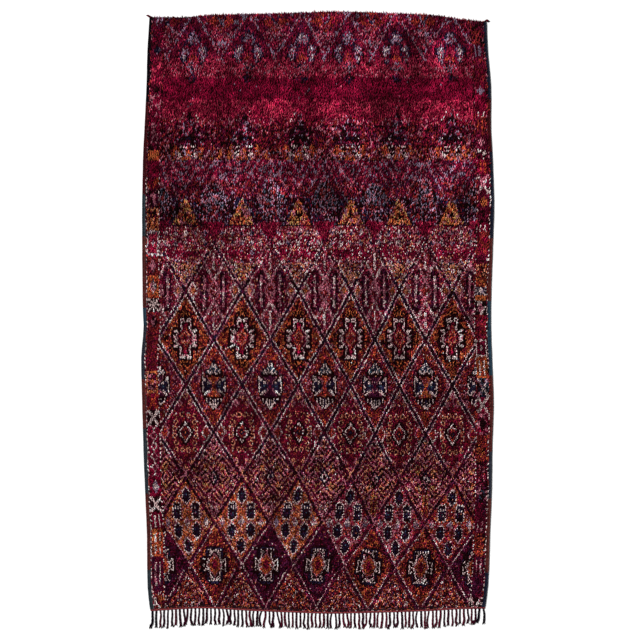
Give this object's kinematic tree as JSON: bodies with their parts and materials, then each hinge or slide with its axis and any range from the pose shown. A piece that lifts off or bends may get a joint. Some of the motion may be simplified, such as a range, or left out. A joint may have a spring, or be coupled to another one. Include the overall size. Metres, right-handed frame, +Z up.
{
  "type": "beni mguild rug",
  "caption": "Long rectangular knotted wool pile rug lying flat, with overcast side selvedges, a twined head cord and a fringe at the foot.",
  "frame": {"origin": "middle of the rug's box, on the floor under its ground cloth", "axes": "+X across the rug, +Y along it towards the head end without a fringe, +Z up out of the pile"},
  "size_m": [1.8876, 3.3034, 0.0229],
  "materials": {
    "pile_wool": "matt knotted wool pile in many dyes",
    "selvedge_wool": "matt overcast wool in colour bands",
    "fringe_wool": "matt twisted wool warp ends",
    "cord_wool": "matt twined wool cord"
  },
  "bodies": {
    "root": {"pile_field": "pile_wool", "selvedge_left": "selvedge_wool", "selvedge_right": "selvedge_wool", "end_web_fringe": "fringe_wool", "heading_cord": "cord_wool"}
  },
  "joints": []
}
